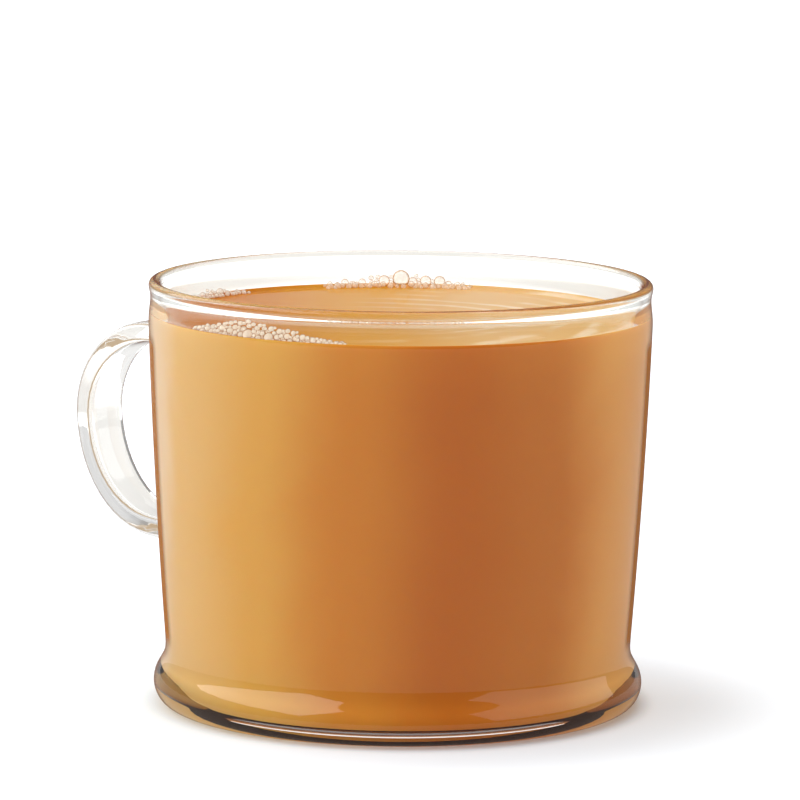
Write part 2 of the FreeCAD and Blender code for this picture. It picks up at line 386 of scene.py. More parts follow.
@dataclass(frozen=True)
class MilkyCoffee:
    """Coffee with milk: opaque, because milk fat scatters light a millimetre or two below the surface."""

    # Distance to the right of the middle, and colour there: painted light and shade, lightest at the far left
    # on the key lamp's side, darkest just right of the middle and lighter again towards the fill lamp on the
    # right.
    painted_light_against_glass: tuple[tuple[float, str], ...] = (
        (-40 * MM, "#E3C59E"), (-36 * MM, "#DDB473"), (-24 * MM, "#DDA954"), (-8 * MM, "#D38934"),
        (9 * MM, "#C57024"), (25 * MM, "#CB7D32"), (37 * MM, "#DEA154"))
    # On the open surface the painted shade makes the left darker and more orange and the right paler.
    open_surface: tuple[tuple[float, str], ...] = (
        (-34 * MM, "#C06E12"), (-6 * MM, "#D69432"), (18 * MM, "#E2B173"), (34 * MM, "#E0AC62"))
    froth_and_painted_highlight: str = "#F6DDB9"            # thin pale lines on the open surface: milk froth, and painted highlight
    underside: tuple[str, str] = ("#241109", "#3C2010")     # painted shade on the bottom face, which hardly any light reaches
    swirl_size: float = 24 * MM        # width of the slow swirls that draw the bands out
    swirl_reach: float = 8 * MM
    whirl_centre: tuple[float, float] = (9 * MM, -6 * MM)   # forward and right: what the streaks curve round
    streak_step: float = 19 * MM       # sets how far apart the streaks lie
    streak_waver: float = 5.0
    streak_line: tuple[float, float] = (0.55, 1.0)          # where a streak starts and is full
    streak_cover: float = 0.8
    streak_gap_size: float = 17 * MM   # size of the gaps that break them up
    streak_gap: tuple[float, float] = (0.40, 0.62)
    streak_side: tuple[float, float] = (-14 * MM, 20 * MM)  # they grow in between these, to the right
    scatter_depth: float = 2.0 * MM
    scatter_radius: tuple[float, float, float] = (1.0, 0.55, 0.25)   # red light goes furthest in milk
    scatter_share: float = 0.3
    ior: float = 1.34
    gloss: float = 0.014               # share of the usual mirror-like reflection
    roughness: float = 0.06
    covered_roughness: float = 0.6     # where the glass, and not air, lies against the drink

    def rightward(self, tree: bpy.types.NodeTree, place: bpy.types.NodeSocket) -> bpy.types.NodeSocket:
        """Distance of a point on the drink to the right of the cup's middle."""
        across = add_node(tree, "ShaderNodeVectorMath", {1: RIGHT}, {0: place}, operation="DOT_PRODUCT")
        return across.outputs["Value"]

    def painted_light_bands(self, tree: bpy.types.NodeTree, stops: tuple[tuple[float, str], ...]) -> bpy.types.NodeSocket:
        """Paint light and shade on the drink from the left to the right of the cup, its bands drawn out in
        slow swirls.

        Args:
            tree: Node tree of the material.
            stops: Distance to the right of the middle and colour there, from the left.

        Returns:
            Colour of the drink.
        """
        place = add_node(tree, "ShaderNodeTexCoord").outputs["Object"]
        swirl = add_node(tree, "ShaderNodeTexNoise",
                         {"Scale": 1 / self.swirl_size, "Detail": 3.0, "Roughness": 0.4, "Distortion": 0.7},
                         {"Vector": place})
        drift = add_node(tree, "ShaderNodeMapRange",
                         {"To Min": -self.swirl_reach / 2, "To Max": self.swirl_reach / 2},
                         {"Value": swirl.outputs["Fac"]})
        moved = add_node(tree, "ShaderNodeMath", None,
                         {0: self.rightward(tree, place), 1: drift.outputs["Result"]})
        first, last = stops[0][0], stops[-1][0]
        share = add_node(tree, "ShaderNodeMapRange", {"From Min": first, "From Max": last},
                         {"Value": moved.outputs[0]})
        bands = add_node(tree, "ShaderNodeValToRGB", None, {0: share.outputs["Result"]})
        ramp = bands.color_ramp
        ramp.interpolation = "EASE"
        for index, (distance, colour) in enumerate(stops):
            position = (distance - first) / (last - first)
            stop = ramp.elements[index] if index < 2 else ramp.elements.new(position)
            stop.position = position
            stop.color = linear_colour(colour)
        return bands.outputs["Color"]

    def streaked(self, tree: bpy.types.NodeTree) -> bpy.types.NodeSocket:
        """Lay faint curved pale lines over the open surface: froth left by stirring, and painted highlight.

        Args:
            tree: Node tree of the material.

        Returns:
            Colour of the open surface.
        """
        place = add_node(tree, "ShaderNodeTexCoord").outputs["Object"]
        forward, right = self.whirl_centre
        whirl = add_node(tree, "ShaderNodeVectorMath", {1: FRONT * forward + RIGHT * right}, {0: place},
                         operation="SUBTRACT")
        rings = add_node(tree, "ShaderNodeTexWave",
                         {"Scale": 1 / self.streak_step, "Distortion": self.streak_waver, "Detail": 3.0,
                          "Detail Scale": 0.45, "Detail Roughness": 0.6},
                         {"Vector": whirl.outputs[0]}, wave_type="RINGS", rings_direction="Z")
        gaps = add_node(tree, "ShaderNodeTexNoise", {"Scale": 1 / self.streak_gap_size, "Detail": 2.0},
                        {"Vector": whirl.outputs[0]})
        share = None
        for value, (first, last), most in ((rings.outputs["Fac"], self.streak_line, self.streak_cover),
                                           (gaps.outputs["Fac"], self.streak_gap, 1.0),
                                           (self.rightward(tree, place), self.streak_side, 1.0)):
            ramp = add_node(tree, "ShaderNodeMapRange", {"From Min": first, "From Max": last, "To Max": most},
                            {"Value": value}, interpolation_type="SMOOTHSTEP").outputs["Result"]
            share = ramp if share is None else add_node(tree, "ShaderNodeMath", None, {0: share, 1: ramp},
                                                        operation="MULTIPLY").outputs[0]
        mix = add_node(tree, "ShaderNodeMix", {7: linear_colour(self.froth_and_painted_highlight)},
                       {0: share, 6: self.painted_light_bands(tree, self.open_surface)}, data_type="RGBA")
        return mix.outputs[2]

    def shaded(self, tree: bpy.types.NodeTree) -> bpy.types.NodeSocket:
        """Cloud the painted shade of the underside a little.

        Args:
            tree: Node tree of the material.

        Returns:
            Colour of the drink's bottom face.
        """
        place = add_node(tree, "ShaderNodeTexCoord")
        cloud = add_node(tree, "ShaderNodeTexNoise", {"Scale": 1 / self.swirl_size, "Detail": 2.0},
                         {"Vector": place.outputs["Object"]})
        darker, lighter = (linear_colour(code) for code in self.underside)
        mix = add_node(tree, "ShaderNodeMix", {6: darker, 7: lighter}, {0: cloud.outputs["Fac"]},
                       data_type="RGBA")
        return mix.outputs[2]

    def make(self, face: DrinkFace) -> bpy.types.Material:
        """Build the material.

        Args:
            face: What this face of the drink meets.

        Returns:
            Milky coffee.
        """
        material = empty_material(face.value)
        tree = material.node_tree
        wet = face is DrinkFace.AIR
        if wet:
            colour = self.streaked(tree)
        elif face is DrinkFace.BASE:
            colour = self.shaded(tree)
        else:
            colour = self.painted_light_bands(tree, self.painted_light_against_glass)
        drink = add_node(tree, "ShaderNodeBsdfPrincipled",
                         {"Roughness": self.roughness if wet else self.covered_roughness, "IOR": self.ior,
                          "Specular IOR Level": self.gloss if wet else 0.0,
                          "Subsurface Weight": 0.0 if face is DrinkFace.BASE else self.scatter_share,
                          "Subsurface Radius": self.scatter_radius,
                          "Subsurface Scale": self.scatter_depth},
                         {"Base Color": colour})
        add_node(tree, "ShaderNodeOutputMaterial", None, {"Surface": drink.outputs[0]})
        return material


@dataclass(frozen=True)
class BubbleFilm:
    """Film of a milk and coffee bubble: pale and half clear, with a browner outline seen edge on."""

    name: str
    middle_cover: float                # how much the film hides where it is seen square on
    outline: str
    middle: str = "#FFF6E8"
    glow: float = 0.12                 # painted glow, in place of the light that the milk in the film scatters on
    lamp_pass: str = "#F7F4EF"
    outline_cover: float = 0.9
    outline_turn: tuple[float, float] = (0.28, 0.68)       # where the outline begins and is full
    ior: float = 1.33
    gloss: float = 0.8
    roughness: float = 0.05

    def make(self) -> bpy.types.Material:
        """Build the material.

        Returns:
            Thin film that grows denser towards its outline.
        """
        material = empty_material(self.name)
        tree = material.node_tree
        edge = add_node(tree, "ShaderNodeLayerWeight", {"Blend": 0.5})
        first, last = self.outline_turn
        turn = add_node(tree, "ShaderNodeMapRange", {"From Min": first, "From Max": last},
                        {"Value": edge.outputs["Facing"]}, interpolation_type="SMOOTHSTEP")
        colour = add_node(tree, "ShaderNodeMix",
                          {6: linear_colour(self.middle), 7: linear_colour(self.outline)},
                          {0: turn.outputs["Result"]}, data_type="RGBA")
        film = add_node(tree, "ShaderNodeBsdfPrincipled",
                        {"Roughness": self.roughness, "IOR": self.ior, "Specular IOR Level": self.gloss,
                         "Emission Strength": self.glow},
                        {"Base Color": colour.outputs[2], "Emission Color": colour.outputs[2]})
        clear = add_node(tree, "ShaderNodeBsdfTransparent")
        cover = add_node(tree, "ShaderNodeMapRange",
                         {"To Min": self.middle_cover, "To Max": self.outline_cover},
                         {"Value": turn.outputs["Result"]})
        mix = add_node(tree, "ShaderNodeMixShader", None,
                       {0: cover.outputs["Result"], 1: clear.outputs[0], 2: film.outputs[0]})
        path = add_node(tree, "ShaderNodeLightPath")
        lamps_pass = add_node(tree, "ShaderNodeBsdfTransparent", {"Color": linear_colour(self.lamp_pass)})
        lit = add_node(tree, "ShaderNodeMixShader", None,
                       {0: path.outputs["Is Shadow Ray"], 1: mix.outputs[0], 2: lamps_pass.outputs[0]})
        add_node(tree, "ShaderNodeOutputMaterial", None, {"Surface": lit.outputs[0]})
        return material


# --------------------------------------------------------------------------------------------------
# Turned forms: a disc is grown ring by ring along a half section
# --------------------------------------------------------------------------------------------------
class TurnedForm:
    """A round body that starts as a disc and is pulled out ring by ring."""

    def __init__(self, name: str, radius: float, height: float) -> None:
        """Lay down the first disc.

        Args:
            name: Name of the piece.
            radius: Radius of the disc.
            height: Height of the disc.
        """
        deselect_all()
        bpy.ops.mesh.primitive_circle_add(vertices=SEGMENTS, radius=radius, fill_type="TRIFAN",
                                          location=(0, 0, height))
        self.piece = bpy.context.object
        self.piece.name = self.piece.data.name = name
        bpy.ops.object.transform_apply(location=True, rotation=True, scale=True)
        self.radius = radius
        self.height = height
        bpy.ops.object.mode_set(mode="EDIT")
        bpy.ops.mesh.select_mode(type="EDGE")
        bpy.ops.mesh.select_all(action="DESELECT")
        bpy.ops.mesh.select_non_manifold()

    def pull_to(self, radius: float, height: float) -> None:
        """Extrude the open ring.

        Args:
            radius: New radius.
            height: New height.
        """
        bpy.ops.mesh.extrude_edges_move(TRANSFORM_OT_translate={"value": (0, 0, height - self.height)})
        share = radius / self.radius
        bpy.ops.transform.resize(value=(share, share, 1), center_override=(0, 0, height))
        self.radius = radius
        self.height = height

    def follow(self, profile: Profile) -> None:
        """Pull the ring through every point of a half section."""
        for radius, height in profile:
            self.pull_to(radius, height)

    def close_centre(self) -> None:
        """Gather the open ring into one point on the axis."""
        bpy.ops.mesh.extrude_edges_move(TRANSFORM_OT_translate={"value": (0, 0, 0)})
        bpy.ops.mesh.merge(type="CENTER")

    def finish(self, levels: int) -> bpy.types.Object:
        """Merge doubles, turn the faces outward and smooth the form.

        Args:
            levels: Levels of subdivision.

        Returns:
            The finished piece.
        """
        bpy.ops.mesh.select_all(action="SELECT")
        bpy.ops.mesh.remove_doubles(threshold=SAME_POINT)
        bpy.ops.mesh.normals_make_consistent(inside=False)
        bpy.ops.object.mode_set(mode="OBJECT")
        if levels:
            smooth = self.piece.modifiers.new("round_off", "SUBSURF")
            smooth.levels = smooth.render_levels = levels
            bpy.ops.object.modifier_apply(modifier=smooth.name)
        bpy.ops.object.shade_smooth()
        return self.piece


# --------------------------------------------------------------------------------------------------
# Glass
# --------------------------------------------------------------------------------------------------
@dataclass(frozen=True)
class CupSizes:
    """Sizes of the glass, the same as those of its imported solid."""

    height: float = 74.4 * MM
    rim_radius: float = 44.0 * MM
    lip_thickness: float = 2.1 * MM
    neck_inset: float = 0.4 * MM
    neck_drop: float = 2.7 * MM
    shoulder_inset: float = 0.05 * MM
    shoulder_drop: float = 7.4 * MM
    wall_flare: float = math.radians(4.4)
    waist_inset: float = 3.2 * MM
    waist_height: float = 10.0 * MM
    waist_wall: float = 2.4 * MM
    foot_inset: float = 1.05 * MM
    foot_height: float = 3.9 * MM
    foot_tuck: float = 2.75 * MM
    base_thickness: float = 2.4 * MM
    inner_corner: float = 4.0 * MM

    def outer_wall(self) -> LeaningArc:
        """Outside of the wall from the waist to the shoulder."""
        return LeaningArc((self.rim_radius - self.waist_inset, self.waist_height),
                          (self.rim_radius - self.shoulder_inset, self.height - self.shoulder_drop),
                          self.wall_flare)

    def inner_wall(self) -> LeaningArc:
        """Inside of the wall from the floor's corner to the lip."""
        foot_height = self.base_thickness + self.inner_corner * (1 - math.sin(self.wall_flare))
        return LeaningArc((self.rim_radius - self.waist_inset - self.waist_wall, foot_height),
                          (self.rim_radius - self.lip_thickness, self.height - self.lip_thickness / 2),
                          self.wall_flare)

    def inner_corner_centre(self) -> tuple[float, float]:
        """Centre of the rounding between floor and wall."""
        radius = self.inner_wall().foot[0] - self.inner_corner * math.cos(self.wall_flare)
        return radius, self.base_thickness + self.inner_corner


@dataclass(frozen=True)
class StrapSizes:
    """Sizes of the handle's strap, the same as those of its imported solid."""

    top: float = 61.3 * MM
    bottom: float = 25.5 * MM
    widest: float = 46.0 * MM
    reach: float = 22.9 * MM
    upper_bend: float = 14.9 * MM
    lower_bend: float = 16.9 * MM
    thickness: float = 3.6 * MM
    width: float = 10.3 * MM


@dataclass(frozen=True)
class Station:
    """One cross section of the strap: where its middle lies and how far it has turned."""

    x: float
    z: float
    turn: float


@dataclass
class GlassCup:
    """The glass: a turned body whose strap handle is drawn out of its wall."""

    sizes: CupSizes
    strap: StrapSizes
    finish: PressedGlass
    ground_step: float = 7 * MM        # distance between rings on the underside
    foot_steps: int = 6                # rings round the foot
    waist_steps: int = 5               # up the waist
    neck_steps: int = 4                # from the shoulder to the neck
    bead_steps: int = 2                # from the neck to the bead
    lip_steps: int = 6                 # round the bead
    root_columns: int = 4              # faces across the strap where it leaves the wall
    root_step: float = 1.7 * MM        # length of the strap's first and last section
    run_step: float = 2.6 * MM         # distance between sections on its straight runs
    bend_steps: int = 7                # sections round each of its bends

    def outer_rows(self) -> list[float]:
        """Heights of the rings on the outer wall, with rings along both roots of the strap.

        Returns:
            Heights above the waist, up to the shoulder.
        """
        half = self.strap.thickness / 2
        fixed = [self.sizes.waist_height]
        for middle in (self.strap.bottom, self.strap.top):
            fixed += [middle - half, middle, middle + half]
        fixed.append(self.sizes.height - self.sizes.shoulder_drop)
        rows: list[float] = []
        for low, high in zip(fixed, fixed[1:]):
            rows += spaced(low, high, WALL_STEP)
        return rows

    def build_body(self) -> TurnedForm:
        """Turn the outside, the lip and the inside as one closed wall.

        Returns:
            The open form, still in edit mode.
        """
        s = self.sizes
        up = Vector((0, 1))
        outer, inner = s.outer_wall(), s.inner_wall()
        lean = Vector((math.sin(s.wall_flare), math.cos(s.wall_flare)))
        foot_radius = s.rim_radius - s.foot_inset
        ground_radius = foot_radius - s.foot_tuck
        first_ring = ground_radius * FIRST_RING
        form = TurnedForm("glass_body", first_ring, 0.0)
        form.follow([(radius, 0.0) for radius in spaced(first_ring, ground_radius, self.ground_step)])
        form.follow(oval_points((ground_radius, s.foot_height), (s.foot_tuck, s.foot_height), -90, 0,
                                self.foot_steps))
        form.follow(bend_points(Vector((foot_radius, s.foot_height)), up, Vector(outer.foot), lean,
                                self.waist_steps))
        form.follow([(outer.radius_at(height), height) for height in self.outer_rows()])
        neck = Vector((s.rim_radius - s.neck_inset, s.height - s.neck_drop))
        bead = Vector((s.rim_radius, s.height - s.lip_thickness / 2))
        form.follow(bend_points(Vector(outer.top), outer.direction_at_top(), neck, up, self.neck_steps))
        form.follow(bend_points(neck, up, bead, up, self.bead_steps))
        bead_half = s.lip_thickness / 2
        form.follow(oval_points((s.rim_radius - bead_half, bead.y), (bead_half, bead_half), 0, 180,
                                self.lip_steps))
        inside = spaced(inner.top[1], inner.foot[1], WALL_STEP)
        form.follow([(inner.radius_at(height), height) for height in inside])
        form.follow(oval_points(s.inner_corner_centre(), (s.inner_corner, s.inner_corner),
                                -math.degrees(s.wall_flare), -90, CORNER_STEPS))
        floor_radius = s.inner_corner_centre()[0]
        floor = spaced(floor_radius, floor_radius * FIRST_RING, FLOOR_STEP)
        form.follow([(radius, s.base_thickness) for radius in floor])
        form.close_centre()
        return form

    def stations(self) -> list[Station]:
        """Cross sections of the strap from its upper to its lower root.

        Returns:
            Stations along two straight runs and two quarter ellipses.
        """
        k, s = self.strap, self.sizes
        widest_x = -s.rim_radius - k.reach
        outer = s.outer_wall()
        top_wall, bottom_wall = -outer.radius_at(k.top), -outer.radius_at(k.bottom)
        upper_x, lower_x = widest_x + k.upper_bend, widest_x + k.lower_bend
        first, last = top_wall - self.root_step, bottom_wall - self.root_step
        quarter = [math.pi / 2 * index / self.bend_steps for index in range(1, self.bend_steps + 1)]
        rise, fall = k.top - k.widest, k.widest - k.bottom
        result = [Station(x, k.top, 0.0) for x in [first] + spaced(first, upper_x, self.run_step)]
        for t in quarter:
            turn = math.atan2(rise * math.sin(t), k.upper_bend * math.cos(t))
            result.append(Station(upper_x - k.upper_bend * math.sin(t), k.widest + rise * math.cos(t), turn))
        for t in quarter:
            turn = math.pi / 2 + math.atan2(k.lower_bend * math.sin(t), fall * math.cos(t))
            result.append(Station(lower_x - k.lower_bend * math.cos(t), k.widest - fall * math.sin(t), turn))
        result += [Station(x, k.bottom, math.pi) for x in spaced(lower_x, last, self.run_step)]
        return result

    def root_half_angle(self) -> float:
        """Half of the angle round the cup that the strap's root takes up."""
        return math.tau / SEGMENTS * self.root_columns / 2

    def select_root(self, piece: bpy.types.Object, height: float) -> None:
        """Add to the selection the wall faces that the strap grows from or runs into.

        Args:
            piece: The glass, in edit mode.
            height: Height of the strap's middle there.
        """
        half_angle = self.root_half_angle()
        wall = self.sizes.outer_wall().radius_at(height)
        mesh = bmesh.from_edit_mesh(piece.data)
        for face in mesh.faces:
            centre = face.calc_center_median()
            bearing = abs(math.atan2(centre.y, -centre.x))
            near_wall = abs(math.hypot(centre.x, centre.y) - wall) < self.sizes.lip_thickness / 2
            if near_wall and bearing < half_angle and abs(centre.z - height) < self.strap.thickness / 2:
                face.select_set(True)
        mesh.select_flush_mode()
        bmesh.update_edit_mesh(piece.data)

    def draw_strap(self, piece: bpy.types.Object) -> None:
        """Extrude the strap out of the upper root, round its bends and into the lower root.

        Args:
            piece: The glass, in edit mode.
        """
        bpy.ops.mesh.select_all(action="DESELECT")
        bpy.ops.mesh.select_mode(type="FACE")
        self.select_root(piece, self.strap.top)
        stations = self.stations()
        wall = self.sizes.outer_wall().radius_at(self.strap.top)
        root_width = 2 * wall * math.sin(self.root_half_angle())
        previous = stations[0]
        for station in stations:
            pivot = (station.x, 0, station.z)
            if station is previous:
                bpy.ops.mesh.extrude_region_move(TRANSFORM_OT_translate={"value": (0, 0, 0)})
                bpy.ops.transform.resize(value=(0, self.strap.width / root_width, 1), center_override=pivot)
            else:
                step = (station.x - previous.x, 0, station.z - previous.z)
                bpy.ops.mesh.extrude_region_move(TRANSFORM_OT_translate={"value": step})
                # In the background a positive turn about Y carries -X towards -Z.
                bpy.ops.transform.rotate(value=station.turn - previous.turn, orient_axis="Y",
                                         orient_type="GLOBAL", center_override=pivot)
            previous = station
        self.select_root(piece, self.strap.bottom)
        bpy.ops.mesh.delete(type="FACE")
        bpy.ops.mesh.select_mode(type="EDGE")
        bpy.ops.mesh.select_non_manifold()
        bpy.ops.mesh.bridge_edge_loops()

    def build(self) -> bpy.types.Object:
        """Build and dress the whole glass.

        Returns:
            The glass as one closed piece.
        """
        form = self.build_body()
        self.draw_strap(form.piece)
        piece = form.finish(FINAL_LEVELS)
        piece.data.materials.append(self.finish.make())
        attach(piece, "root")
        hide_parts("glass_cup")
        return piece


# --------------------------------------------------------------------------------------------------
# Drink
# --------------------------------------------------------------------------------------------------
@dataclass
class CoffeeFill:
    """The drink, which reaches just into the wall so that no air gap shows."""

    sizes: CupSizes
    finish: MilkyCoffee
    level: float = 67.9 * MM
    meniscus_rise: float = 0.6 * MM
    meniscus_width: float = 2.2 * MM
    meniscus_rings: tuple[float, ...] = (0.0, 0.12, 0.27, 0.45, 0.7, 1.0)   # shares of its width
    meniscus_curve: float = 2.2        # how steeply it falls away from the glass
    into_wall: float = 0.12 * MM
    middle_ring: float = 0.12          # share of the surface's radius that its middle disc takes up
    surface_step: float = 4 * MM       # distance between rings on the surface
    open_slope: float = 0.2            # upright part of a normal, above which a face is open to the air
    flat_slope: float = 0.955          # and below minus which it is part of the flat underside
    dark_ring: float = 31.5 * MM       # inner radius of the ring on the underside that is painted in shade

    def profile(self) -> tuple[Profile, Profile]:
        """Half section of the drink, from near the middle of its floor to near the middle of its surface.

        Returns:
            The part against the glass and the open surface.
        """
        s, inner = self.sizes, self.sizes.inner_wall()
        corner_radius, _ = s.inner_corner_centre()
        floor = s.base_thickness - self.into_wall
        contact = self.level + self.meniscus_rise
        first_ring = corner_radius * FIRST_RING
        covered = [(radius, floor) for radius in spaced(first_ring, corner_radius, FLOOR_STEP)]
        corner = s.inner_corner + self.into_wall
        covered += oval_points(s.inner_corner_centre(), (corner, corner), -90,
                               -math.degrees(s.wall_flare), CORNER_STEPS)
        covered += [(inner.radius_at(height) + self.into_wall, height)
                    for height in spaced(inner.foot[1], contact, WALL_STEP)]
        wall_radius = inner.radius_at(contact)
        open_surface = []
        for share in self.meniscus_rings:
            climb = self.meniscus_rise * (1 - share) ** self.meniscus_curve
            open_surface.append((wall_radius - share * self.meniscus_width, self.level + climb))
        flat = wall_radius - self.meniscus_width
        open_surface += [(radius, self.level)
                         for radius in spaced(flat, flat * self.middle_ring, self.surface_step)]
        return covered, open_surface

    def met_by(self, polygon: bpy.types.MeshPolygon) -> DrinkFace:
        """Tell what one face of the drink meets.

        Args:
            polygon: Face of the finished drink.

        Returns:
            The kind of face that it is part of.
        """
        if polygon.normal.z > self.open_slope:
            return DrinkFace.AIR
        if polygon.normal.z < -self.flat_slope and polygon.center.xy.length > self.dark_ring:
            return DrinkFace.BASE
        return DrinkFace.GLASS

    def build(self) -> bpy.types.Object:
        """Build and dress the drink.

        Returns:
            The drink as one closed piece.
        """
        covered, open_surface = self.profile()
        corner_radius, _ = self.sizes.inner_corner_centre()
        form = TurnedForm("coffee_drink", corner_radius * FIRST_RING, covered[0][1])
        form.follow(covered)
        form.follow(open_surface)
        form.close_centre()
        piece = form.finish(FINAL_LEVELS)
        kinds = list(DrinkFace)
        for kind in kinds:
            piece.data.materials.append(self.finish.make(kind))
        for polygon in piece.data.polygons:
            polygon.material_index = kinds.index(self.met_by(polygon))
        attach(piece, "root")
        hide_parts("coffee")
        return piece


# --------------------------------------------------------------------------------------------------
# Bubbles
# --------------------------------------------------------------------------------------------------
@dataclass(frozen=True)
class Bubble:
    """One bubble: where its middle is and how large it is."""

    centre: Vector
    radius: float


@dataclass
class BubblePatch:
    """A drift of bubbles on the drink, pressed against the glass and heaped highest at its peak."""

    name: str
    node: str
    first_bearing: float               # degrees round the cup, the handle being at 180
    peak_bearing: float
    last_bearing: float
    peak_height: float                 # how high the heap climbs the glass
    end_height: float
    depth: float                       # how far the heap reaches in from the glass
    large: tuple[tuple[float, float], ...]      # bearing and radius of each bubble that stands out
    small_radii: tuple[float, float]   # largest and smallest of the others
    count: int
    seed: int
    sizes: CupSizes
    level: float
    slope: float = 1.25                # how the heap falls away from its peak
    tries: int = 40                    # places that are tried for each small bubble
    packing: float = 0.88              # nearest distance of two bubbles as a share of their radii
    large_contact: float = 0.94        # how far from the glass the middle of a bubble stays, in radii
    small_contact: float = 0.92
    afloat: float = 0.4                # how high the middle of a small bubble floats, in radii
    shrinking: float = 0.6             # how the small bubbles lose size from first to last
    headroom: float = 1.2              # height of heap that a small bubble needs, in radii
    inner_fall: float = 0.75           # how much lower the heap is at its inner end
    crowding: float = 1.3              # how the small bubbles gather towards the glass
    spin: float = 500                  # turns every bubble differently, in radians for each metre along

    def heap_height(self, bearing: float) -> float:
        """Height of the heap above the drink at a bearing.

        Args:
            bearing: Degrees round the cup.

        Returns:
            The height there.
        """
        past_peak = (bearing - self.peak_bearing) * (self.last_bearing - self.peak_bearing) > 0
        end = self.last_bearing if past_peak else self.first_bearing
        share = min(1.0, abs(bearing - self.peak_bearing) / abs(end - self.peak_bearing))
        return self.peak_height + (self.end_height - self.peak_height) * share ** self.slope

    def spot(self, bearing: float, inward: float, lift: float) -> Vector:
        """Find a point above the drink.

        Args:
            bearing: Degrees round the cup.
            inward: Distance from the glass.
            lift: Height above the drink.

        Returns:
            The point.
        """
        distance = self.sizes.inner_wall().radius_at(self.level + lift) - inward
        angle = math.radians(bearing)
        return Vector((distance * math.cos(angle), distance * math.sin(angle), self.level + lift))

    def scatter(self) -> list[Bubble]:
        """Place the large bubbles, then fill in smaller ones without letting them overlap much.

        Returns:
            The bubbles of the patch.
        """
        dice = random.Random(self.seed)
        placed = [Bubble(self.spot(bearing, radius * self.large_contact, radius), radius)
                  for bearing, radius in self.large]
        widest, narrowest = self.small_radii
        for index in range(self.count):
            radius = widest + (narrowest - widest) * (index / self.count) ** self.shrinking
            for _ in range(self.tries):
                bearing = dice.uniform(self.first_bearing, self.last_bearing)
                heap = self.heap_height(bearing)
                if heap < radius * self.headroom:
                    continue
                layer = dice.random()      # 0 against the glass, 1 at the inner end, where the heap is low
                spare = max(0.0, heap - radius * (1 + self.afloat))
                lift = radius * self.afloat + spare * dice.random() * (1 - self.inner_fall * layer)
                inward = (radius * self.small_contact
                          + max(0.0, self.depth - 2 * radius) * layer ** self.crowding)
                centre = self.spot(bearing, inward, lift)
                if all((centre - other.centre).length > self.packing * (radius + other.radius)
                       for other in placed):
                    placed.append(Bubble(centre, radius))
                    break
        return placed

    def build(self, masters: tuple[bpy.types.Object, bpy.types.Object],
              film: bpy.types.Material) -> bpy.types.Object:
        """Copy the master bubbles to every place and join the patch.

        Args:
            masters: Fine and plain bubble of radius 1 at the origin, for the large and the small ones.
            film: Material of the bubbles.

        Returns:
            The patch as one piece.
        """
        deselect_all()
        copies = []
        for index, bubble in enumerate(self.scatter()):
            master = masters[0 if index < len(self.large) else 1]
            copy = master.copy()
            copy.data = master.data.copy()
            bpy.context.scene.collection.objects.link(copy)
            copy.location = bubble.centre
            copy.scale = (bubble.radius,) * 3
            copy.rotation_euler = (0, 0, bubble.centre.x * self.spin)
            copy.select_set(True)
            copies.append(copy)
        bpy.context.view_layer.objects.active = copies[0]
        bpy.ops.object.transform_apply(location=True, rotation=True, scale=True)
        bpy.ops.object.join()
        piece = bpy.context.object
        piece.name = piece.data.name = self.name
        bpy.ops.object.shade_smooth()
        piece.data.materials.append(film)
        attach(piece, "root")
        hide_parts(self.node)
        return piece


def master_bubble(name: str, subdivisions: int) -> bpy.types.Object:
    """Model one bubble of radius 1, with a foot a little flattened by the drink below it.

    Args:
        name: Name of the master.
        subdivisions: How finely the bubble is divided.

    Returns:
        The bubble, to be copied.
    """
    deselect_all()
    bpy.ops.mesh.primitive_ico_sphere_add(subdivisions=subdivisions, radius=1.0, location=(0, 0, 0))
    master = bpy.context.object
    master.name = name
    bpy.ops.object.mode_set(mode="EDIT")
    bpy.ops.mesh.select_all(action="DESELECT")
    mesh = bmesh.from_edit_mesh(master.data)
    for vertex in mesh.verts:
        vertex.select_set(vertex.co.z < BUBBLE_FOOT)
    mesh.select_flush_mode()
    bmesh.update_edit_mesh(master.data)
    bpy.ops.transform.resize(value=(1, 1, BUBBLE_FLATTENING), center_override=(0, 0, BUBBLE_FOOT))
    bpy.ops.object.mode_set(mode="OBJECT")
    return master


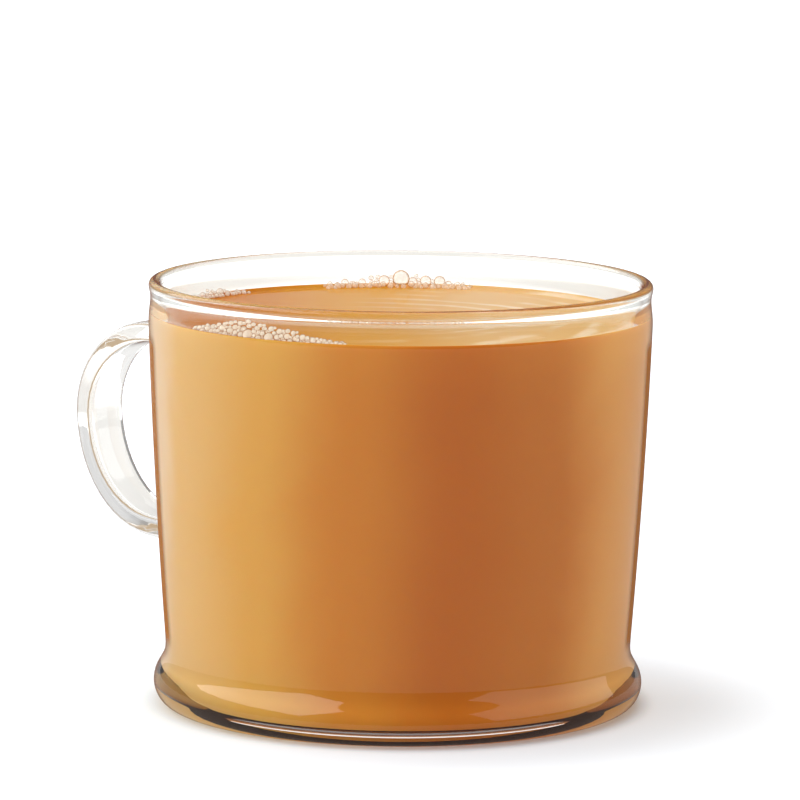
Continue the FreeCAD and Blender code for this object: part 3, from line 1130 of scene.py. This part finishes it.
# --------------------------------------------------------------------------------------------------
# Studio
# --------------------------------------------------------------------------------------------------
@dataclass
class Studio:
    """White floor, plain soft lights and the camera."""

    camera_distance: float = 904.4 * MM
    camera_height: float = 187.6 * MM
    camera_pitch: float = math.radians(8.456)
    camera_roll: float = math.radians(0.50)
    field_share: float = 5235.7 / 800  # focal length as a share of the picture's width
    sensor: float = 36.0
    aim_height: float = 35 * MM        # where the lamps point, half way up the cup
    lamp_glint: float = 0.6            # strength of the lamps' own reflections
    surroundings: float = 0.42         # plain light from all round
    light_through: float = 0.88        # light that reaches the drink through the glass
    mirrored_front: float = 0.06       # what the glass mirrors from the darker side of the room
    mirrored_back: float = 0.22
    mirrored_turn: tuple[float, float] = (-0.75, 0.4)       # how far to the front these two lie
    ceiling: float = 0.45              # what the rim and the bends show of the room high overhead
    ceiling_turn: tuple[float, float] = (0.60, 0.90)
    camera_side: float = 0.45          # and of the darker room on the camera's side
    camera_turn: tuple[float, float] = (0.05, 0.35)
    mirrored_through: float = 0.8      # and of the room that is mirrored before or inside the glass
    floor_size: float = 6.0
    floor_drop: float = 0.1 * MM       # keeps the floor just clear of the glass
    paper: str = "#E6E4E0"
    paper_seen: str = "#DFE6EC"        # seen directly, a little cooler to balance the drink's warm light
    floor_glow: float = 0.305          # added so that the floor shows white
    floor_fade: float = 0.18           # painted light, added further out, so that the shadow stays close to the cup
    floor_through: float = 0.7         # added to the floor seen through the glass, below the cup as well
    floor_behind: float = 0.55         # less of it behind the strap, which so stands out a little grey
    floor_far: tuple[float, float] = (300 * MM, 1600 * MM)  # all of it grows here, where the lamps are weak
    floor_far_gain: float = 2.3
    mirrored_floor: float = 0.5        # share of the floor's light that is seen mirrored

    def add_camera(self) -> None:
        """Place the camera and make it the scene's own."""
        data = bpy.data.cameras.new("camera")
        data.sensor_width = self.sensor
        data.lens = self.sensor * self.field_share
        data.clip_start = 0.01
        camera = bpy.data.objects.new("camera", data)
        bpy.context.scene.collection.objects.link(camera)
        forward = -FRONT * math.cos(self.camera_pitch) - Vector((0, 0, math.sin(self.camera_pitch)))
        up = RIGHT.cross(forward)
        cosine, sine = math.cos(self.camera_roll), math.sin(self.camera_roll)
        tilted_right = RIGHT * cosine + up * sine
        tilted_up = up * cosine - RIGHT * sine
        place = FRONT * self.camera_distance + Vector((0, 0, self.camera_height))
        turn = Matrix((tilted_right, tilted_up, -forward)).transposed().to_4x4()
        camera.matrix_world = Matrix.Translation(place) @ turn
        bpy.context.scene.camera = camera

    def add_lamp(self, name: str, place: Vector, width: float, height: float, power: float) -> None:
        """Add one soft box that faces the cup.

        Args:
            name: Name of the lamp.
            place: Where it stands.
            width: Width of its face.
            height: Height of its face.
            power: Power in watts.
        """
        data = bpy.data.lights.new(name, "AREA")
        data.shape = "RECTANGLE"
        data.size, data.size_y = width, height
        data.energy = power
        data.specular_factor = self.lamp_glint
        lamp = bpy.data.objects.new(name, data)
        bpy.context.scene.collection.objects.link(lamp)
        aim = Vector((0, 0, self.aim_height)) - place
        lamp.matrix_world = Matrix.Translation(place) @ aim.to_track_quat("-Z", "Y").to_matrix().to_4x4()

    def add_lights(self) -> None:
        """Add the large light on the left, the weak one on the right and a soft one above."""
        up = Vector((0, 0, 1))
        self.add_lamp("key", -RIGHT * 0.845 - FRONT * 0.01 + up * 0.76, 2.2, 0.8, 12.8)
        self.add_lamp("fill", RIGHT * 1.07 + FRONT * 0.14 + up * 0.5, 1.9, 0.8, 4.4)
        self.add_lamp("top", up * 1.2 - FRONT * 0.3, 0.9, 0.7, 2.5)

    def add_surroundings(self) -> None:
        """Set the white ground behind the cup and the weaker light that the room gives."""
        world = bpy.data.worlds.new("studio")
        bpy.context.scene.world = world
        world.use_nodes = True
        tree = world.node_tree
        tree.nodes.clear()
        path = add_node(tree, "ShaderNodeLightPath")
        way = add_node(tree, "ShaderNodeTexCoord").outputs["Generated"]
        upward = add_node(tree, "ShaderNodeSeparateXYZ", None, {0: way}).outputs["Z"]
        forward = add_node(tree, "ShaderNodeVectorMath", {1: FRONT}, {0: way},
                           operation="DOT_PRODUCT").outputs["Value"]
        strengths = []
        for value, (first, last), lowest, highest in (
                (upward, self.ceiling_turn, 1.0, self.ceiling),
                (forward, self.camera_turn, 1.0, self.camera_side),
                (forward, self.mirrored_turn, self.mirrored_back, self.mirrored_front)):
            ramp = add_node(tree, "ShaderNodeMapRange",
                            {"From Min": first, "From Max": last, "To Min": lowest, "To Max": highest},
                            {"Value": value}, interpolation_type="SMOOTHSTEP")
            strengths.append(ramp.outputs["Result"])
        overhead, nearer, mirrored = strengths
        once = add_node(tree, "ShaderNodeMapRange", {"To Min": 1.0, "To Max": self.mirrored_through},
                        {"Value": path.outputs["Glossy Depth"]})
        seen = add_node(tree, "ShaderNodeMath", None, {0: overhead, 1: nearer}, operation="MULTIPLY")
        dimmed = add_node(tree, "ShaderNodeMath", None, {0: seen.outputs[0], 1: once.outputs["Result"]},
                          operation="MULTIPLY")
        scattered = add_node(tree, "ShaderNodeMath", {1: 1.0}, {0: path.outputs["Diffuse Depth"]},
                             operation="MINIMUM")
        through = add_node(tree, "ShaderNodeMix", {3: self.light_through},
                           {0: scattered.outputs[0], 2: dimmed.outputs[0]}, data_type="FLOAT")
        # Each kind of ray that is told apart puts its own ground in place of what was there before.
        shown = add_node(tree, "ShaderNodeBackground", {"Color": WHITE, "Strength": self.surroundings})
        for kind, strength in (("Is Glossy Ray", mirrored), ("Is Transmission Ray", through.outputs[0]),
                               ("Is Camera Ray", None)):
            ground = add_node(tree, "ShaderNodeBackground", {"Color": WHITE, "Strength": 1.0},
                              {} if strength is None else {"Strength": strength})
            shown = add_node(tree, "ShaderNodeMixShader", None,
                             {0: path.outputs[kind], 1: shown.outputs[0], 2: ground.outputs[0]})
        add_node(tree, "ShaderNodeOutputWorld", None, {"Surface": shown.outputs[0]})

    def floor_light(self, tree: bpy.types.NodeTree, path: bpy.types.Node,
                    mirrored: bpy.types.NodeSocket) -> bpy.types.NodeSocket:
        """Work out what is added to the floor for each kind of ray.

        Args:
            tree: Node tree of the floor's material.
            path: Its light path node.
            mirrored: 1 for a ray that was mirrored and not bent by glass.

        Returns:
            Strength of the added light.
        """
        direct, bent = path.outputs["Is Camera Ray"], path.outputs["Is Transmission Ray"]
        looked = add_node(tree, "ShaderNodeMath", None, {0: bent, 1: path.outputs["Diffuse Depth"]},
                          operation="SUBTRACT", use_clamp=True).outputs[0]
        place = add_node(tree, "ShaderNodeTexCoord")
        away = add_node(tree, "ShaderNodeVectorMath", None, {0: place.outputs["Object"]},
                        operation="LENGTH").outputs["Value"]
        total = None
        # Direct rays get the glow only from 41 mm and in full from 46 mm, so a painted contact shadow rings
        # the foot; the fade further out is painted light that keeps the cast shadow short.
        for kind, start, end, amount in ((direct, 41 * MM, 46 * MM, self.floor_glow),
                                         (direct, 50 * MM, 74 * MM, self.floor_fade),
                                         (bent, 0.0, 1 * MM, self.floor_through),
                                         (looked, 60 * MM, 120 * MM, -self.floor_behind),
                                         (looked, 350 * MM, 430 * MM, self.floor_behind),
                                         (mirrored, 30 * MM, 40 * MM, self.floor_glow)):
            ramp = add_node(tree, "ShaderNodeMapRange",
                            {"From Min": start, "From Max": end, "To Max": amount},
                            {"Value": away}, interpolation_type="SMOOTHSTEP")
            share = add_node(tree, "ShaderNodeMath", None, {0: ramp.outputs["Result"], 1: kind},
                             operation="MULTIPLY").outputs[0]
            total = share if total is None else add_node(tree, "ShaderNodeMath", None,
                                                         {0: total, 1: share}).outputs[0]
        near_end, far_end = self.floor_far
        far = add_node(tree, "ShaderNodeMapRange",
                       {"From Min": near_end, "From Max": far_end, "To Min": 1.0,
                        "To Max": self.floor_far_gain},
                       {"Value": away}, interpolation_type="SMOOTHSTEP")
        return add_node(tree, "ShaderNodeMath", None, {0: total, 1: far.outputs["Result"]},
                        operation="MULTIPLY").outputs[0]

    def add_floor(self) -> None:
        """Lay the white floor, which keeps the cup's shadow, is darkest right under the cup and has a painted
        contact shadow round the foot.
        """
        deselect_all()
        bpy.ops.mesh.primitive_plane_add(size=self.floor_size, location=(0, 0, -self.floor_drop))
        floor = bpy.context.object
        floor.name = "floor"
        material = empty_material("white_paper")
        tree = material.node_tree
        path = add_node(tree, "ShaderNodeLightPath")
        sheet = add_node(tree, "ShaderNodeMix",
                         {6: linear_colour(self.paper), 7: linear_colour(self.paper_seen)},
                         {0: path.outputs["Is Camera Ray"]}, data_type="RGBA")
        paper = add_node(tree, "ShaderNodeBsdfDiffuse", None, {"Color": sheet.outputs[2]})
        # A ray that was bent by glass counts as a glossy ray too, so only the rest was mirrored.
        mirrored = add_node(tree, "ShaderNodeMath", None,
                            {0: path.outputs["Is Glossy Ray"], 1: path.outputs["Is Transmission Ray"]},
                            operation="SUBTRACT", use_clamp=True).outputs[0]
        glow = add_node(tree, "ShaderNodeEmission", {"Color": WHITE},
                        {"Strength": self.floor_light(tree, path, mirrored)})
        both = add_node(tree, "ShaderNodeAddShader", None, {0: paper.outputs[0], 1: glow.outputs[0]})
        # Mirrored in the glass, the near floor shows darker, as it does in a studio with a dark front half.
        hidden = add_node(tree, "ShaderNodeMath", {1: 1.0 - self.mirrored_floor}, {0: mirrored},
                          operation="MULTIPLY")
        dark = add_node(tree, "ShaderNodeEmission", {"Color": WHITE, "Strength": 0.0})
        table = add_node(tree, "ShaderNodeMixShader", None,
                         {0: hidden.outputs[0], 1: both.outputs[0], 2: dark.outputs[0]})
        add_node(tree, "ShaderNodeOutputMaterial", None, {"Surface": table.outputs[0]})
        floor.data.materials.append(material)

    def build(self) -> None:
        """Set up the whole studio."""
        self.add_camera()
        self.add_surroundings()
        self.add_lights()
        self.add_floor()
        bpy.context.scene.view_settings.view_transform = "Standard"


def report(piece: bpy.types.Object) -> None:
    """Log the size of one finished piece."""
    LOG.info("%s: %d faces", piece.name, len(piece.data.polygons))


def main() -> None:
    """Build every piece of the cup and the studio round it."""
    logging.basicConfig(level=logging.INFO, format="%(name)s %(message)s")
    Studio().build()
    sizes = CupSizes()
    report(GlassCup(sizes, StrapSizes(), PressedGlass()).build())
    drink = CoffeeFill(sizes, MilkyCoffee())
    report(drink.build())
    clear = BubbleFilm("clear_bubble_film", 0.30, "#B98854").make()
    froth = BubbleFilm("milk_froth_film", 0.55, "#9A6530").make()
    masters = (master_bubble("master_bubble_fine", 3), master_bubble("master_bubble_plain", 2))
    shared = {"sizes": sizes, "level": drink.level}
    patches = (
        BubblePatch("bubbles_back", "foam_back", 107, 124, 145, 3.0 * MM, 0.7 * MM, 3.4 * MM,
                    ((125.0, 1.57 * MM), (129.3, 1.06 * MM), (118.7, 1.06 * MM), (115.1, 1.06 * MM),
                     (134.9, 0.74 * MM), (139.4, 0.74 * MM), (132.4, 0.56 * MM), (137.2, 0.54 * MM),
                     (143.2, 0.54 * MM), (122.0, 0.9 * MM)),
                    (0.74 * MM, 0.36 * MM), 60, 4, **shared),
        BubblePatch("bubbles_left", "foam_left", 168, 181, 195, 1.6 * MM, 0.6 * MM, 2.2 * MM,
                    ((177.0, 0.7 * MM), (184.0, 0.6 * MM)), (0.55 * MM, 0.3 * MM), 60, 5, **shared),
        BubblePatch("bubbles_front", "foam_front", -112, -92, -68, 3.9 * MM, 0.8 * MM, 2.4 * MM,
                    ((-93.0, 0.9 * MM), (-87.0, 0.8 * MM)), (0.62 * MM, 0.28 * MM), 330, 6, **shared),
    )
    for patch, film in zip(patches, (clear, froth, froth)):
        report(patch.build(masters, film))
    for master in masters:
        bpy.data.objects.remove(master)


if __name__ == "__main__":
    main()
